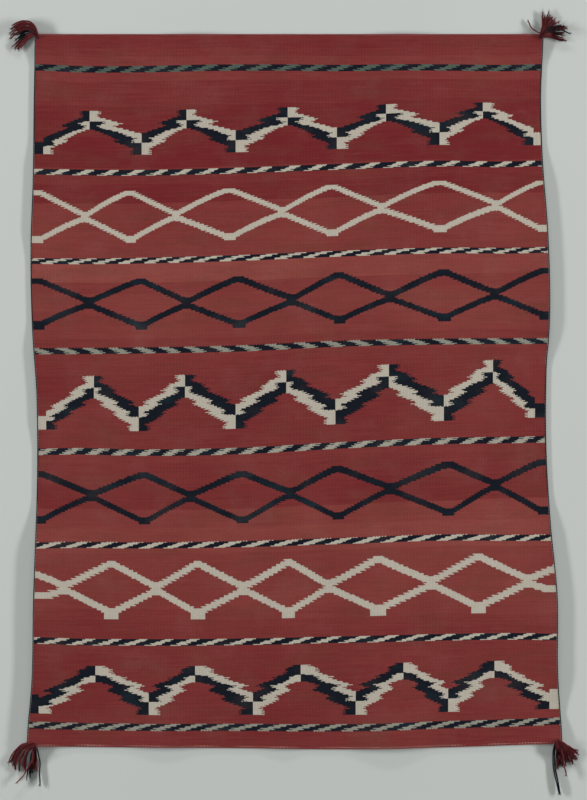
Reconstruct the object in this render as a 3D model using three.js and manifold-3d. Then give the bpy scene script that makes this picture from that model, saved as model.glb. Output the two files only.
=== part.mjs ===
// A hand-woven wool serape, laid out flat on a surface: one tapestry-woven blanket, the twined cords
// that edge it, and a tassel knotted at each corner. Millimetres, +Z up. The origin is the middle of
// the blanket's underside, +Y points to its top edge and +X to its right edge.
import * as THREE from "three";
import { mergeVertices } from "three/addons/utils/BufferGeometryUtils.js";
import Module from "manifold-3d";

const wasm = await Module();
wasm.setup();

// Driving sizes
const LENGTH = 1820; // top edge to bottom edge
const TOP_EDGE = 912; // the top edge's distance from the origin
const THICKNESS = 2.2;
const GAP = 0.3; // left between pieces that touch
const CORD = 1.5; // half the thickness of an edge cord
const CORD_SIDES = 8;
const COLUMNS = 22; // facets across the blanket
const ROWS = 36; // facets down the blanket

// The woven outline, from the top edge down in equal steps: where each side edge lies, and how far
// the weft rises on its way from left to right.
const OUTLINE = [
  { left: -655, right: 640, rise: 0 },
  { left: -658, right: 634, rise: 23 },
  { left: -660, right: 640, rise: 25 },
  { left: -666, right: 653, rise: 28 },
  { left: -663, right: 657, rise: 27 },
  { left: -651, right: 648, rise: 37 },
  { left: -649, right: 648, rise: 34 },
  { left: -653, right: 659, rise: 22 },
  { left: -659, right: 676, rise: 20 },
  { left: -662, right: 677, rise: 17 },
  { left: -675, right: 688, rise: 9 },
];

// The rise takes place between these shares of the width, and the left end turns up a little.
const LEAN = { from: 0.22, to: 0.8, turnUp: 0.25, turnUpWidth: 0.2 };
const BOTTOM_SAG = 5; // how far the middle of the bottom edge hangs below its ends

// Soft ripples where the cloth stands off the surface, each a rounded ridge along a line.
const RIPPLES = [
  { where: "left edge, low", x0: -700, y0: -430, x1: -710, y1: -940, half: 170, height: 8 },
  { where: "left edge, middle", x0: -700, y0: 90, x1: -700, y1: -60, half: 110, height: 4 },
  { where: "left edge, high", x0: -700, y0: 560, x1: -700, y1: 430, half: 110, height: 3 },
  { where: "right edge, high", x0: 700, y0: 520, x1: 700, y1: 180, half: 140, height: 6 },
  { where: "right edge, low", x0: 730, y0: -380, x1: 730, y1: -700, half: 150, height: 8 },
  { where: "bottom, right of middle", x0: 150, y0: -330, x1: 260, y1: -960, half: 130, height: 6 },
  { where: "bottom, left of middle", x0: -310, y0: -620, x1: -330, y1: -960, half: 110, height: 4 },
  { where: "top, left of middle", x0: -250, y0: 960, x1: -230, y1: 760, half: 110, height: 3 },
  { where: "top, right of middle", x0: 290, y0: 960, x1: 280, y1: 800, half: 120, height: 4 },
  { where: "old fold, upper half", x0: -18, y0: 860, x1: -18, y1: 230, half: 70, height: 2.2 },
  { where: "old fold, lower half", x0: -18, y0: -260, x1: -24, y1: -940, half: 70, height: 2.6 },
];
const CORNER_LIFT = { half: 90, height: 4 }; // each knot holds its corner off the surface

// The knot at a corner, a flattened ball, and the yarn strands that come out of it.
const KNOT = { radius: 9, halfHeight: 5.8, sunk: 0.4, sides: 14, rings: 10 };
const STRAND = { half: 1.9, sides: 4, steps: 6, rootStep: 1.9, layerGap: 0.5, bowAt: 0.3, shorter: 0.22 };

// The four tassels: the corner each hangs from, its knot's middle, and its locks of strands. A lock's
// row gives its root, the direction and distance of its ends, the angle it fans over, how far it bows
// to its left as a share of the distance, its number of strands, and the layer it lies in. Roots and
// knots are placed from the corner, and angles are in degrees from +X.
const TASSELS = [
  {
    name: "tassel_top_left",
    corner: { across: 0, down: 0 },
    knot: { x: -2, y: 3 },
    locks: [
      { x: 2, y: 5, aim: 181, reach: 71, fan: 16, bow: -0.62, count: 5, layer: 1 },
      { x: -3, y: 5, aim: 192, reach: 58, fan: 30, bow: -0.24, count: 4, layer: 0 },
      { x: -5, y: 1, aim: 220, reach: 64, fan: 14, bow: -0.2, count: 3, layer: 0 },
      { x: -2, y: 7, aim: 166, reach: 46, fan: 10, bow: -0.3, count: 2, layer: 0 },
    ],
  },
  {
    name: "tassel_top_right",
    corner: { across: 1, down: 0 },
    knot: { x: 1, y: 3 },
    locks: [
      { x: -4, y: 5, aim: 137, reach: 43, fan: 0, bow: 0.24, count: 1, layer: 0 },
      { x: 0, y: 6, aim: 86, reach: 55, fan: 12, bow: -0.06, count: 2, layer: 0 },
      { x: 3, y: 5, aim: 47, reach: 56, fan: 40, bow: 0.1, count: 5, layer: 0 },
      { x: 5, y: 2, aim: 1, reach: 62, fan: 30, bow: 0.16, count: 5, layer: 0 },
      { x: 4, y: 4, aim: 0, reach: 68, fan: 22, bow: 0.3, count: 2, layer: 1 },
    ],
  },
  {
    name: "tassel_bottom_left",
    corner: { across: 0, down: 1 },
    knot: { x: 1, y: -3 },
    locks: [
      { x: -3, y: -3, aim: 243, reach: 72, fan: 28, bow: -0.22, count: 6, layer: 0 },
      { x: 1, y: -6, aim: 267, reach: 86, fan: 10, bow: 0, count: 3, layer: 0 },
      { x: 0, y: -5, aim: 254, reach: 90, fan: 0, bow: 0.08, count: 1, layer: 1 },
      { x: 4, y: -6, aim: 279, reach: 58, fan: 6, bow: 0, count: 2, layer: 0 },
      { x: 6, y: -4, aim: 285, reach: 93, fan: 0, bow: 0.14, count: 1, layer: 0 },
    ],
  },
  {
    name: "tassel_bottom_right",
    corner: { across: 1, down: 1 },
    knot: { x: -3, y: -4 },
    locks: [
      { x: 1, y: -3, aim: 324, reach: 52, fan: 18, bow: -0.04, count: 3, layer: 0 },
      { x: -2, y: -6, aim: 288, reach: 60, fan: 34, bow: 0.06, count: 6, layer: 0 },
      { x: -3, y: -5, aim: 281, reach: 80, fan: 0, bow: 0.04, count: 1, layer: 1 },
      { x: -8, y: -5, aim: 265, reach: 127, fan: 0, bow: -0.07, count: 1, layer: 0 },
    ],
  },
];

const RED = new THREE.MeshStandardMaterial({ color: 0x7a3033, roughness: 0.95, metalness: 0 });
const INDIGO = new THREE.MeshStandardMaterial({ color: 0x1b222e, roughness: 0.95, metalness: 0 });
const TASSEL_RED = new THREE.MeshStandardMaterial({ color: 0x6f2329, roughness: 0.95, metalness: 0 });

const sideEdges = new THREE.SplineCurve(OUTLINE.map((row) => new THREE.Vector2(row.left, row.right)));
const weftRise = new THREE.SplineCurve(OUTLINE.map((row) => new THREE.Vector2(row.rise, 0)));

// How much of the weft's rise is reached at a share of the width.
function lean(across) {
  const turned = Math.max(0, 1 - across / LEAN.turnUpWidth);
  return THREE.MathUtils.smoothstep(across, LEAN.from, LEAN.to) + LEAN.turnUp * turned * turned;
}

// Height of a rounded ridge at a point: cosine squared of the distance from its line.
function ridge(x, y, { x0, y0, x1, y1, half, height }) {
  const line = new THREE.Line3(new THREE.Vector3(x0, y0, 0), new THREE.Vector3(x1, y1, 0));
  const point = new THREE.Vector3(x, y, 0);
  const near = line.closestPointToPoint(point, true, new THREE.Vector3());
  const share = Math.min(1, near.distanceTo(point) / half);
  return height * Math.cos((share * Math.PI) / 2) ** 2;
}

// The blanket's outline point, flat: across 0 to 1 from the left edge, down 0 to 1 from the top edge.
function flatPoint(across, down) {
  const edges = sideEdges.getPoint(down);
  const sag = BOTTOM_SAG * Math.sin(Math.PI * across) * down ** 6;
  return new THREE.Vector2(
    THREE.MathUtils.lerp(edges.x, edges.y, across),
    TOP_EDGE - down * LENGTH + weftRise.getPoint(down).x * lean(across) - sag,
  );
}

const corners = [0, 1].flatMap((across) => [0, 1].map((down) => flatPoint(across, down)));

// How far the underside stands off the surface. Ripples that meet don't add up: the higher one wins.
function lift(x, y) {
  const ripples = RIPPLES.map((ripple) => ridge(x, y, ripple));
  const knots = corners.map((c) => ridge(x, y, { x0: c.x, y0: c.y, x1: c.x, y1: c.y + 1, ...CORNER_LIFT }));
  return Math.max(...ripples, ...knots);
}

// The underside of the blanket in space.
function clothPoint(across, down) {
  const flat = flatPoint(across, down);
  return new THREE.Vector3(flat.x, flat.y, lift(flat.x, flat.y));
}

// Moves each vertex of a geometry to where a function says.
function reshape(geometry, place) {
  const position = geometry.getAttribute("position");
  const vertex = new THREE.Vector3();
  for (let i = 0; i < position.count; i++) {
    vertex.fromBufferAttribute(position, i);
    const moved = place(vertex);
    position.setXYZ(i, moved.x, moved.y, moved.z);
  }
  geometry.computeVertexNormals();
  return geometry;
}

// The blanket as one sheet. grow thickens it all round, for cutting its neighbours.
function blanketGeometry(grow = 0) {
  const sheet = new THREE.BoxGeometry(1, 1, 2, COLUMNS, ROWS, 1);
  return reshape(sheet, ({ x, y, z }) => {
    const point = clothPoint(x + 0.5, 0.5 - y);
    point.x += grow * Math.sign(x) * (Math.abs(x) > 0.4999);
    point.y += grow * Math.sign(y) * (Math.abs(y) > 0.4999);
    point.z += z > 0 ? THICKNESS + grow : -grow;
    return point;
  });
}

// A straight round bar of unit length along Y, lying on a flat of its many sides.
function bar(apothem, sides, steps) {
  const turn = Math.PI / sides;
  const radius = apothem / Math.cos(turn);
  return new THREE.CylinderGeometry(radius, radius, 1, sides, steps, false, turn);
}

// A side cord, along the left (across 0) or right (across 1) edge.
function sideCordGeometry(across, grow = 0) {
  const outward = across ? 1 : -1;
  return reshape(bar(CORD + grow, CORD_SIDES, ROWS), ({ x, y, z }) => {
    const point = clothPoint(across, 0.5 - y);
    point.x += outward * (GAP + CORD) + x;
    point.y += grow * Math.sign(y) * (Math.abs(y) > 0.4999);
    point.z += CORD + z;
    return point;
  });
}

// An end cord, along the top (down 0) or bottom (down 1) edge.
function endCordGeometry(down, grow = 0) {
  const outward = down ? -1 : 1;
  return reshape(bar(CORD + grow, CORD_SIDES, COLUMNS).rotateZ(-Math.PI / 2), ({ x, y, z }) => {
    const point = clothPoint(x + 0.5, down);
    point.x += grow * Math.sign(x) * (Math.abs(x) > 0.4999);
    point.y += outward * (GAP + CORD) + y;
    point.z += CORD + z;
    return point;
  });
}

// A number from 0 to 1 that looks random but is the same each time.
function vary(index, salt) {
  const wild = Math.sin(index * 12.9898 + salt * 78.233) * 43758.5453;
  return wild - Math.floor(wild);
}

// Where a tassel hangs from: its corner of the blanket, flat.
function cornerOf({ corner }) {
  return flatPoint(corner.across, corner.down);
}

// The centrelines of a lock's strands, flat: one curve, turned about its root for each strand.
function lockStrands(tassel, lock, salt) {
  return Array.from({ length: lock.count }, (_, i) => {
    const share = lock.count > 1 ? i / (lock.count - 1) - 0.5 : 0;
    const angle = THREE.MathUtils.degToRad(lock.aim + share * lock.fan);
    const dir = new THREE.Vector2(Math.cos(angle), Math.sin(angle));
    const left = new THREE.Vector2(-dir.y, dir.x);
    const root = cornerOf(tassel).add(lock).addScaledVector(left, share * (lock.count - 1) * STRAND.rootStep);
    const bend = root.clone().addScaledVector(dir, lock.reach * STRAND.bowAt);
    bend.addScaledVector(left, lock.reach * lock.bow);
    const end = root.clone().addScaledVector(dir, lock.reach);
    return {
      curve: new THREE.QuadraticBezierCurve(root, bend, end),
      cut: 1 - STRAND.shorter * vary(i, salt),
      height: STRAND.half + lock.layer * (2 * STRAND.half + STRAND.layerGap),
    };
  });
}

// A strand is a square bar that follows its centreline, cut short at its own length. It comes out of
// the knot halfway up and sinks to its layer, where it lies level.
function strandGeometry({ curve, cut, height }) {
  return reshape(bar(STRAND.half, STRAND.sides, STRAND.steps), ({ x, y, z }) => {
    const along = (0.5 - y) * cut;
    const centre = curve.getPoint(along);
    const ahead = curve.getTangent(along);
    const sink = THREE.MathUtils.smoothstep(along, 0, 0.4);
    const level = THREE.MathUtils.lerp((height + KNOT.halfHeight) / 2, height, sink);
    return new THREE.Vector3(centre.x - ahead.y * x, centre.y + ahead.x * x, level + z);
  });
}

// A geometry as a manifold solid, and back.
function solid(geometry) {
  const bare = geometry.clone();
  bare.deleteAttribute("normal");
  bare.deleteAttribute("uv");
  const merged = mergeVertices(bare, 1e-4);
  return new wasm.Manifold(
    new wasm.Mesh({
      numProp: 3,
      vertProperties: new Float32Array(merged.getAttribute("position").array),
      triVerts: new Uint32Array(merged.index.array),
    }),
  );
}

function geometryOf(made) {
  const mesh = made.getMesh();
  const geometry = new THREE.BufferGeometry();
  geometry.setAttribute("position", new THREE.BufferAttribute(new Float32Array(mesh.vertProperties), 3));
  geometry.setIndex(new THREE.BufferAttribute(new Uint32Array(mesh.triVerts), 1));
  geometry.computeVertexNormals();
  return geometry;
}

// The knot at a corner, with a flat on its underside where it rests.
function knotSolid(tassel) {
  const middle = cornerOf(tassel).add(tassel.knot);
  const ball = new THREE.SphereGeometry(1, KNOT.sides, KNOT.rings).rotateX(Math.PI / 2);
  ball.scale(KNOT.radius, KNOT.radius, KNOT.halfHeight);
  ball.translate(middle.x, middle.y, KNOT.halfHeight - KNOT.sunk);
  const surface = new THREE.BoxGeometry(80, 80, 20).translate(middle.x, middle.y, -10);
  return solid(ball).subtract(solid(surface));
}

// What the knots keep clear of: the blanket and its cords, a little larger.
const clearance = [
  blanketGeometry(GAP),
  sideCordGeometry(0, GAP),
  sideCordGeometry(1, GAP),
  endCordGeometry(0, GAP),
  endCordGeometry(1, GAP),
].map(solid);

function tasselGeometry(tassel) {
  let made = knotSolid(tassel);
  const strands = tassel.locks.flatMap((lock, salt) => lockStrands(tassel, lock, salt + tassel.knot.x));
  for (const strand of strands) made = made.add(solid(strandGeometry(strand)));
  for (const neighbour of clearance) made = made.subtract(neighbour);
  return geometryOf(made);
}

function piece(name, geometry, material) {
  const mesh = new THREE.Mesh(geometry, material);
  mesh.name = name;
  return mesh;
}

const serape = new THREE.Group();
serape.add(piece("blanket", blanketGeometry(), RED));
serape.add(piece("side_cord_left", sideCordGeometry(0), INDIGO));
serape.add(piece("side_cord_right", sideCordGeometry(1), INDIGO));
serape.add(piece("end_cord_top", endCordGeometry(0), RED));
serape.add(piece("end_cord_bottom", endCordGeometry(1), RED));
for (const tassel of TASSELS) serape.add(piece(tassel.name, tasselGeometry(tassel), TASSEL_RED));

export default serape;
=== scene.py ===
"""Dresses a hand-woven wool serape that lies flat: its tapestry-woven cloth, the twined cords and warp
loops at its edges, and the tassels at its corners, on a plain pale floor.

Metres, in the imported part's own frame: +Z up, +Y to the top edge, +X to the right edge. Distances
called "down" are measured along the warp from the top edge. The cloth's UV map holds, in metres, how
far right of the middle a point is and how far down, so the pattern follows the weft as it wavers.
"""

import bpy
import numpy as np
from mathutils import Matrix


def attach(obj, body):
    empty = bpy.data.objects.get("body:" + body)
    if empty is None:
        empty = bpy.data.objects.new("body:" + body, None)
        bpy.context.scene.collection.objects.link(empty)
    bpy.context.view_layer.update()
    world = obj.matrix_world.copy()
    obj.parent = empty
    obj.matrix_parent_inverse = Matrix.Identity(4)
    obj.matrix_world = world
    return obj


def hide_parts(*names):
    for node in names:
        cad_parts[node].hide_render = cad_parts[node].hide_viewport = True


bl_info = {
    "name": "Serape",
    "version": (1, 0, 0),
    "blender": (4, 5, 0),
    "location": "3D View > Sidebar > Serape",
    "description": "Weaves a flat wool serape with its pattern, edge cords and corner tassels",
    "category": "Object",
}

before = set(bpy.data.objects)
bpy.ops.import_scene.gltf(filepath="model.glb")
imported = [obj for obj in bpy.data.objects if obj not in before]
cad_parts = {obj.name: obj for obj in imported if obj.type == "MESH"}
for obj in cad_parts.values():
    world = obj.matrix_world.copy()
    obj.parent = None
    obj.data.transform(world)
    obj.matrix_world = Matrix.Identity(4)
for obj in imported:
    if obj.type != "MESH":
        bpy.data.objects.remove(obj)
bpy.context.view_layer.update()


def dye(red, green, blue):
    """A colour given as on a screen, 0 to 255, as the linear colour that a shader takes."""
    share = np.array([red, green, blue]) / 255
    return tuple(np.where(share <= 0.04045, share / 12.92, ((share + 0.055) / 1.055) ** 2.4).tolist())


# The outline and the way it lies

# Where the left and right edges lie, in millimetres, from the top edge down in equal steps.
OUTLINE = np.array([
    (-655, 640), (-658, 634), (-660, 640), (-666, 653), (-663, 657), (-651, 648),
    (-649, 648), (-653, 659), (-659, 676), (-662, 677), (-675, 688),
]) / 1000

# How far the weft has risen, in tenths of a millimetre. A row holds the distance down, the rise in six
# places from the left edge to the right, and what is added close to the left edge and to the right edge.
WEFT_LINES = np.array([
    (0, 0, 0, 0, 0, 0, 0, 0, 0),
    (860, -15, -9, 34, 22, 36, -3, 56, 43),
    (2500, 14, 1, 75, 145, 280, 262, 0, 0),
    (3490, 1, -24, 34, 130, 211, 160, 0, 52),
    (4610, -1, 5, 85, 173, 290, 286, 0, 0),
    (5740, -49, -27, 44, 156, 237, 211, 12, 36),
    (6810, -6, -39, 1, 99, 164, 237, 0, 0),
    (8030, -59, -39, 14, 137, 188, 197, 0, 0),
    (8680, -60, -48, 20, 186, 295, 406, 0, 0),
    (10120, 35, -7, 60, 173, 256, 342, 0, 0),
    (10710, 108, 34, 75, 222, 332, 353, -56, 18),
    (11740, 27, -20, -1, 132, 222, 313, 0, 0),
    (13060, 47, 14, 47, 134, 217, 187, -30, 28),
    (14140, 35, 9, 12, 84, 167, 213, 0, 0),
    (15540, 17, 6, 20, 83, 139, 176, 45, -27),
    (16770, 6, 13, 18, 45, 107, 139, 0, 0),
    (17730, 61, 26, 23, 14, 97, 157, 30, 30),
    (18200, 37, 8, -10, -40, 18, 100, 0, 0),
]) / 10000
EDGE_REACH = 0.06  # how far in, as a share of the width, the rise added close to an edge fades

# Soft ripples where the cloth stands off the floor: the ends of a ridge's line, its half width and height.
RIPPLES = [
    (-0.700, -0.430, -0.710, -0.940, 0.170, 0.008),
    (-0.700, 0.090, -0.700, -0.060, 0.110, 0.004),
    (-0.700, 0.560, -0.700, 0.430, 0.110, 0.003),
    (0.700, 0.520, 0.700, 0.180, 0.140, 0.006),
    (0.730, -0.380, 0.730, -0.700, 0.150, 0.008),
    (0.150, -0.330, 0.260, -0.960, 0.130, 0.006),
    (-0.310, -0.620, -0.330, -0.960, 0.110, 0.004),
    (-0.250, 0.960, -0.230, 0.760, 0.110, 0.003),
    (0.290, 0.960, 0.280, 0.800, 0.120, 0.004),
    (-0.018, 0.860, -0.018, 0.230, 0.070, 0.0022),
    (-0.018, -0.260, -0.024, -0.940, 0.070, 0.0026),
]
CORNER_HALF, CORNER_LIFT = 0.090, 0.004

# The pattern

# A band's limbs turn at the places in "turns", in millimetres from left to right and counted from -1. A
# zigzag's feet have the even numbers and its crowns the odd ones. A diamond band's crossings have the
# even ones and its points the odd.
#
# A zigzag's limb is charted as (share of the height down from the crown's top, share of the way
# from the crown's axis to the foot's). "crown" is its upper outline, "foot" its lower one, counted from
# the foot instead, and "swap" the line where its colour changes.
ZIGZAGS = [
    {
        "name": "zigzag_high",
        "turns": (-765, -638, -518, -385, -271, -143, -10, 115, 242, 376, 490, 617, 752),
        "shape": {"top": 0.1935, "height": 0.1100, "white_right": 1, "end": 0.73, "drop": 0.10},
        "crown": ((0, 0.2), (0.07, 0.19), (0.1, 0.145), (0.14, 0.18), (0.16, 0.23), (0.2, 0.36),
                  (0.245, 0.47), (0.285, 0.61), (0.3, 0.59), (0.35, 0.475), (0.37, 0.48), (0.4, 0.6),
                  (0.48, 0.83), (0.525, 0.98), (0.53, 1), (1, 1)),
        "foot": ((0, 0.2), (0.09, 0.2), (0.115, 0.146), (0.15, 0.215), (0.218, 0.36), (0.27, 0.47),
                 (0.291, 0.55), (0.328, 0.483), (0.424, 0.65), (0.505, 0.79), (0.559, 0.94), (0.575, 1),
                 (1, 1)),
        "swap": ((0, 0), (0.242, 0), (0.246, 0.24), (0.29, 0.25), (0.31, 0.21), (0.349, 0.12), (0.365, 0.14),
                 (0.411, 0.2), (0.435, 0.335), (0.5, 0.535), (0.6, 0.735), (0.645, 0.87), (0.662, 0.79),
                 (0.731, 0.79), (0.735, 1), (1, 1)),
    },
    {
        "name": "zigzag_middle",
        "turns": (-750, -630, -508, -392, -273, -145, -15, 111, 248, 387, 515, 622, 745),
        "shape": {"top": 0.8660, "height": 0.1460, "white_right": 0, "end": 0.75, "drop": 0.10},
        "crown": ((0, 0.19), (0.05, 0.19), (0.09, 0.13), (0.11, 0.13), (0.13, 0.2), (0.165, 0.345),
                  (0.215, 0.38), (0.262, 0.49), (0.27, 0.51), (0.295, 0.43), (0.31, 0.46), (0.4, 0.7),
                  (0.48, 0.9), (0.495, 0.87), (0.515, 0.81), (0.56, 0.98), (0.565, 1), (1, 1)),
        "foot": ((0, 0.21), (0.085, 0.21), (0.115, 0.145), (0.135, 0.22), (0.21, 0.385), (0.29, 0.53),
                 (0.305, 0.58), (0.33, 0.49), (0.41, 0.7), (0.475, 0.86), (0.49, 0.82), (0.515, 0.77),
                 (0.57, 0.9), (0.602, 1), (1, 1)),
        "swap": ((0, 0), (0.211, 0), (0.215, 0.175), (0.25, 0.17), (0.295, 0.11), (0.345, 0.2), (0.392, 0.37),
                 (0.46, 0.52), (0.487, 0.6), (0.516, 0.49), (0.577, 0.635), (0.625, 0.73), (0.665, 0.87),
                 (0.69, 0.785), (0.745, 0.785), (0.75, 1), (1, 1)),
    },
    {
        "name": "zigzag_low",
        "turns": (-780, -648, -504, -367, -247, -101, 22, 164, 284, 401, 517, 657, 780),
        "shape": {"top": 1.614, "height": 0.1265, "white_right": 1, "end": 0.57, "drop": 0.10},
        "crown": ((0, 0.16), (0.04, 0.17), (0.065, 0.3), (0.11, 0.31), (0.125, 0.28), (0.18, 0.36),
                  (0.225, 0.48), (0.238, 0.59), (0.268, 0.52), (0.311, 0.63), (0.352, 0.76), (0.4, 0.91),
                  (0.41, 0.92), (0.465, 0.77), (0.48, 0.8), (0.553, 1), (1, 1)),
        "foot": ((0, 0.22), (0.09, 0.22), (0.125, 0.155), (0.165, 0.215), (0.226, 0.36), (0.27, 0.46),
                 (0.315, 0.56), (0.325, 0.54), (0.367, 0.48), (0.44, 0.65), (0.495, 0.79), (0.51, 0.76),
                 (0.578, 0.67), (0.635, 0.8), (0.67, 1), (1, 1)),
        "swap": ((0, 0), (0.19, 0), (0.195, 0.06), (0.224, 0.2), (0.258, 0.29), (0.271, 0.24), (0.3, 0.3),
                 (0.345, 0.385), (0.379, 0.48), (0.412, 0.67), (0.49, 0.52), (0.565, 0.68), (0.637, 0.87),
                 (0.7, 0.79), (0.728, 0.8), (0.732, 1), (1, 1)),
    },
]

# Each diamond band's colour, the passes of weft in a row of it, its turns, and its shape.
DIAMOND_PARTS = "middle rise fall stroke bend knot rising_teeth falling_teeth foot short".split()
DIAMONDS = [
    ("white", 3, (-650, -528, -414, -296, -159, -23, 103, 231, 380, 526, 640),
     (0.4645, 0.0610, 0.0557, 0.0145, 1.22, 0.06, 0.4, 0.8, 0.0022, 0)),
    ("navy", 3, (-649, -518, -385, -268, -136, 3, 122, 252, 390, 522, 648),
     (0.683, 0.0552, 0.0540, 0.0165, 1.18, 0.08, 0.3, 0.7, 0.0042, 0)),
    ("navy", 3, (-645, -511, -377, -259, -126, -3, 118, 253, 403, 521, 643),
     (1.1785, 0.0515, 0.0630, 0.0165, 1.15, 0.09, 0.7, 0.3, 0.0023, 0)),
    ("white", 4, (-696, -583, -462, -346, -242, -123, -8, 94, 220, 357, 477, 606, 724),
     (1.4165, 0.0603, 0.0590, 0.0185, 1.0, 0.09, 1.1, 0.4, 0.0113, 1)),
]
TURN_SPAN = (-0.80, 0.80)  # the reach of a chart of turns
MOST_TURNS = 16

# The beaded stripes: middle, height, where a navy bead starts, the length of a pair of beads, how far
# the beads lean, the navy beads' share of a pair, and how white the pale ones are.
BEAD_PARTS = "middle height start pair lean navy_share".split()
BEADS = [
    (0.0858, 0.0180, -0.6540, 0.0663, 0.047, 0.57, 0.0),
    (0.3494, 0.0152, -0.6515, 0.0663, 0.033, 0.62, 1.0),
    (0.5742, 0.0142, -0.6622, 0.0675, 0.051, 0.57, 1.0),
    (0.8028, 0.0166, -0.6955, 0.0684, -0.035, 0.57, 0.45),
    (1.0710, 0.0158, -0.6860, 0.0678, 0.030, 0.57, 0.7),
    (1.3064, 0.0152, -0.6764, 0.0681, 0.0445, 0.57, 1.0),
    (1.5537, 0.0168, -0.6640, 0.0702, 0.052, 0.61, 1.0),
    (1.7728, 0.0180, -0.6498, 0.0694, 0.055, 0.57, 0.5),
]
# How far the beads have drifted to the right of even steps, at each place across.
BEAD_DRIFT = (
    (-0.645, 0.0), (-0.57, 0.002), (-0.376, -0.006), (-0.25, -0.015), (-0.17, -0.016), (-0.043, -0.009),
    (0.02, -0.004), (0.15, -0.004), (0.225, 0.001), (0.353, 0.006), (0.5, 0.010), (0.563, 0.008),
    (0.637, 0.0),
)
DRIFT_SPAN = 0.04  # the reach of the chart of drifts

# How far a row's tooth stands out: as a share of the way from turn to turn, and in metres on a bead.
ZIGZAG_TOOTH, DIAMOND_TOOTH, BEAD_TOOTH = 0.026, 0.030, 0.0034

# The dye lots of the red ground: where each starts, down from the top edge, and how faded it is at the
# left and at the right.
DYE_LOTS = [
    (0.000, 0.22, 0.22), (0.012, 0.18, 0.18), (0.034, 0.27, 0.27), (0.050, 0.42, 0.42), (0.072, 0.40, 0.38),
    (0.096, 0.38, 0.42), (0.117, 0.20, 0.20), (0.183, 0.09, 0.09), (0.262, 0.03, 0.03), (0.341, 0.25, 0.17),
    (0.379, 0.12, 0.12), (0.428, 0.48, 0.45), (0.500, 0.55, 0.50), (0.578, 1.00, 0.72), (0.630, 0.50, 0.50),
    (0.655, 0.62, 0.60), (0.706, 0.52, 0.58), (0.770, 0.35, 0.42), (0.822, 0.33, 0.33), (0.865, 0.22, 0.33),
    (0.942, 0.30, 0.30), (1.080, 0.38, 0.38), (1.096, 0.30, 0.30), (1.147, 0.20, 0.22), (1.215, 0.50, 0.70),
    (1.262, 0.65, 0.85), (1.326, 0.55, 0.58), (1.470, 0.38, 0.55), (1.495, 0.30, 0.45), (1.525, 0.28, 0.35),
    (1.634, 0.26, 0.32),
]

# The tassels

# Each tassel's corner, as shares across and down, how far to the right its eye in the cloth is moved, and
# its locks of yarn. A lock holds its root's x and y from the corner, the direction its strands aim in,
# their reach, how far they fan out, how far they bow to their left, their count, the layer that they lie
# in, and their yarn.
TASSELS = {
    "tassel_top_left": ((0, 0), 0.0, [
        (0.002, 0.005, 181, 0.071, 16, -0.62, 12, 1, "red"),
        (-0.003, 0.005, 192, 0.058, 32, -0.24, 9, 0, "navy"),
        (-0.005, 0.001, 220, 0.064, 14, -0.2, 6, 0, "red"),
        (-0.002, 0.007, 166, 0.046, 12, -0.3, 5, 0, "red"),
    ]),
    "tassel_top_right": ((1, 0), 0.0, [
        (-0.004, 0.005, 137, 0.043, 0, 0.24, 1, 0, "red"),
        (0.000, 0.006, 86, 0.055, 12, -0.06, 4, 0, "red"),
        (0.003, 0.005, 47, 0.056, 40, 0.1, 11, 0, "red"),
        (0.005, 0.002, 1, 0.062, 30, 0.16, 13, 0, "red"),
        (0.004, 0.004, 0, 0.068, 22, 0.3, 3, 1, "navy"),
    ]),
    "tassel_bottom_left": ((0, 1), 0.009, [
        (0.008, 0.000, 240, 0.076, 25, -0.32, 15, 0, "red"),
        (0.014, -0.005, 262, 0.094, 5, 0.0, 4, 0, "navy"),
        (0.012, -0.004, 246, 0.100, 0, 0.24, 1, 1, "red"),
        (0.018, -0.005, 267, 0.060, 8, 0.0, 6, 0, "red"),
        (0.022, -0.004, 274, 0.098, 0, 0.06, 1, 0, "navy"),
    ]),
    "tassel_bottom_right": ((1, 1), -0.002, [
        (0.001, -0.003, 324, 0.052, 18, -0.04, 8, 0, "red"),
        (-0.002, -0.006, 288, 0.060, 34, 0.06, 17, 0, "red"),
        (-0.003, -0.005, 281, 0.080, 0, 0.04, 1, 1, "red"),
        (-0.018, -0.005, 276, 0.127, 0, -0.07, 1, 0, "navy"),
        (-0.015, -0.005, 276, 0.124, 0, -0.07, 1, 0, "navy"),
    ]),
}
EYE_INSET = 0.0072  # how far a tassel's eye is from both edges of the cloth
STRAND_STEPS, LEAD_STEPS = 56, 8  # points along a strand, and those of them inside the cloth
STRAND_SIDES, FIBRES = 12, 9


# Sizes and colours that a user would change


def length_of(name, description, default):
    return bpy.props.FloatProperty(
        name=name, description=description, default=default, unit="LENGTH", precision=4
    )


def colour_of(name, description, default):
    return bpy.props.FloatVectorProperty(
        name=name, description=description, default=default, subtype="COLOR", size=3, min=0, max=1
    )


class SerapeCloth(bpy.types.PropertyGroup):
    """The woven blanket."""

    length: length_of("Length", "Top edge to bottom edge", 1.82)
    top_edge: length_of("Top edge", "How far the top edge lies from the origin", 0.912)
    thickness: length_of("Thickness", "Thickness of the cloth", 0.0022)
    warp: length_of("Warp", "Distance from one warp to the next", 0.0037)
    pick: length_of("Pick", "Height of one pass of the weft over a warp", 0.0007)
    columns: bpy.props.IntProperty(name="Columns", description="Faces across the cloth", default=150)
    rows: bpy.props.IntProperty(name="Rows", description="Faces down the cloth", default=208)


class SerapeYarn(bpy.types.PropertyGroup):
    """The edge cords, warp loops and tassels."""

    gap: length_of("Gap", "Left between pieces that touch", 0.0003)
    cord: length_of("Cord", "Half the thickness of an edge cord", 0.0015)
    twining: length_of("Twining", "Length of one full turn of an edge cord", 0.0148)
    strand: length_of("Strand", "Half the thickness of a tassel's strand", 0.00185)
    ply: length_of("Ply", "Length of one full turn of a strand's plies", 0.015)
    fray: length_of("Fray", "Length of the loose fibres at a strand's end", 0.006)


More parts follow.
